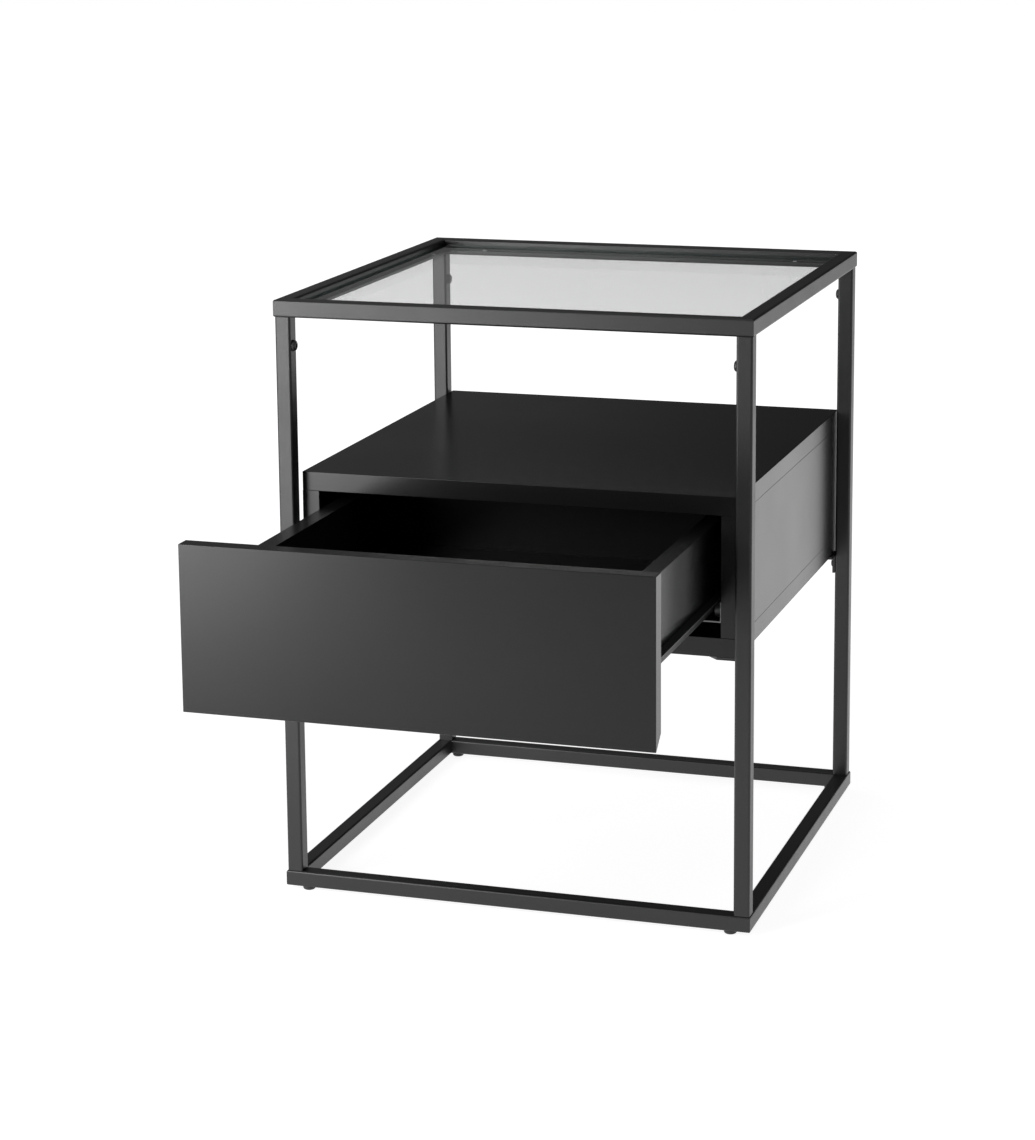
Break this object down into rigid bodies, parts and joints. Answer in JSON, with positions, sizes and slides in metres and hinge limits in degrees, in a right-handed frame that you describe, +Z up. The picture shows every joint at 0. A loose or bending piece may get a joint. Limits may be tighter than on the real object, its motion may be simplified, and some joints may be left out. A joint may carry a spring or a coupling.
{
  "type": "side table with drawer",
  "caption": "Square side table: slim black steel tube frame, recessed clear glass top and a black board cabinet that forms a shelf and holds a drawer on roller runners.",
  "frame": {"origin": "on the floor, at the middle of the area covered by the table with its drawer pulled out as at rest", "axes": "+X to the right of a person who faces the drawer, -Y towards that person along the drawer travel, +Z up"},
  "size_m": [0.45, 0.71, 0.565],
  "materials": {
    "black_board": "satin black laminated board",
    "black_screw": "blackened steel",
    "black_steel": "matt black powder coat",
    "cam_zinc": "cast zinc",
    "clear_pad": "soft translucent plastic",
    "dowel_wood": "plain hardwood",
    "glass": "clear polished float glass",
    "glide_plastic": "black plastic",
    "nylon": "black nylon",
    "panel": "thin black laminated panel",
    "runner_steel": "black coated steel sheet",
    "screw_steel": "zinc plated"
  },
  "bodies": {
    "table": {"bottom_rail_back": "black_steel", "bottom_rail_front": "black_steel", "bottom_rail_left": "black_steel", "bottom_rail_right": "black_steel", "bracket_back_left": "black_steel", "bracket_back_right": "black_steel", "bracket_front_left": "black_steel", "bracket_front_right": "black_steel", "bracket_screws": "black_screw", "cabinet_runner_left": "runner_steel", "cabinet_runner_right": "runner_steel", "cabinet_runner_screws": "screw_steel", "carcass_back_board": "panel", "carcass_bottom_board": "black_board", "carcass_dowels": "dowel_wood", "carcass_left_side": "black_board", "carcass_right_side": "black_board", "carcass_screws": "screw_steel", "carcass_top_board": "black_board", "foot_glides": "glide_plastic", "front_roller_axles": "screw_steel", "glass_ledge_back": "black_steel", "glass_ledge_front": "black_steel", "glass_ledge_left": "black_steel", "glass_ledge_right": "black_steel", "glass_pads": "clear_pad", "glass_top": "glass", "leg_back_left": "black_steel", "leg_back_right": "black_steel", "leg_front_left": "black_steel", "leg_front_right": "black_steel", "leg_screws": "black_screw", "leg_spigots": "black_steel", "top_rail_back": "black_steel", "top_rail_front": "black_steel", "top_rail_left": "black_steel", "top_rail_right": "black_steel"},
    "drawer": {"drawer_back": "black_board", "drawer_bottom": "panel", "drawer_bumpers": "clear_pad", "drawer_cam_bolts": "screw_steel", "drawer_cams": "cam_zinc", "drawer_dowels": "dowel_wood", "drawer_front": "black_board", "drawer_left_side": "black_board", "drawer_right_side": "black_board", "drawer_runner_left": "runner_steel", "drawer_runner_right": "runner_steel", "drawer_runner_screws": "screw_steel", "drawer_screws": "screw_steel", "rear_roller_axles": "screw_steel"},
    "front_roller_left": {"front_roller_left": "nylon"},
    "front_roller_right": {"front_roller_right": "nylon"},
    "rear_roller_left": {"rear_roller_left": "nylon"},
    "rear_roller_right": {"rear_roller_right": "nylon"}
  },
  "joints": [
    {"name": "drawer_slide", "type": "slide", "parent": "table", "child": "drawer", "axis": [0, -1, 0], "range_m": [-0.263, 0.037]},
    {"name": "front_roller_left_turn", "type": "hinge", "parent": "table", "child": "front_roller_left", "pos_m": [-0.187, -0.06, 0.2965], "axis": [1, 0, 0], "range_deg": [-1680, 240]},
    {"name": "front_roller_right_turn", "type": "hinge", "parent": "table", "child": "front_roller_right", "pos_m": [0.187, -0.06, 0.2965], "axis": [1, 0, 0], "range_deg": [-1680, 240]},
    {"name": "rear_roller_left_turn", "type": "hinge", "parent": "drawer", "child": "rear_roller_left", "pos_m": [-0.187, 0.048, 0.2946], "axis": [1, 0, 0], "range_deg": [-1960, 280]},
    {"name": "rear_roller_right_turn", "type": "hinge", "parent": "drawer", "child": "rear_roller_right", "pos_m": [0.187, 0.048, 0.2946], "axis": [1, 0, 0], "range_deg": [-1960, 280]}
  ],
  "couplings": [
    {"joint": "front_roller_left_turn", "follows": "drawer_slide", "rad_per_m": 111.11},
    {"joint": "front_roller_right_turn", "follows": "drawer_slide", "rad_per_m": 111.11},
    {"joint": "rear_roller_left_turn", "follows": "drawer_slide", "rad_per_m": 129.87},
    {"joint": "rear_roller_right_turn", "follows": "drawer_slide", "rad_per_m": 129.87}
  ]
}
